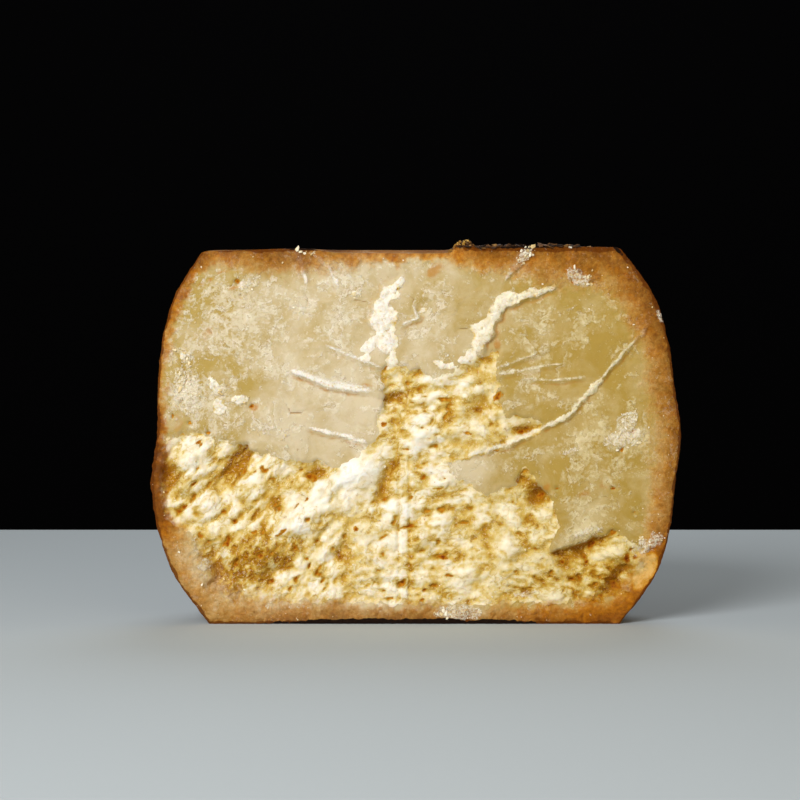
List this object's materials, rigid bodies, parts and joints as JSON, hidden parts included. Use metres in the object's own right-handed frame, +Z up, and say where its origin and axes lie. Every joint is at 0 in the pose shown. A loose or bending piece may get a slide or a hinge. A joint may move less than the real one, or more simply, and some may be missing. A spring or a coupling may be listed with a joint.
{
  "type": "pecorino cheese chunk",
  "caption": "Cut wheel of hard aged cheese standing on its flat base, its broken face forward, with smooth knife facets, torn crumb and a tan rind.",
  "frame": {"origin": "middle of the bounding box, on the plane that the base rests on", "axes": "+X to the right along the cut, -Y out of the cut towards the viewer, +Z up along the wheel's axis"},
  "size_m": [0.1792, 0.0922, 0.1303],
  "materials": {
    "cheese": "pale cream to straw paste, waxy on the knife facets and rough on the torn crumb, with a tan to dark brown oiled rind"
  },
  "bodies": {
    "root": {"cheese_chunk": "cheese"}
  },
  "joints": []
}
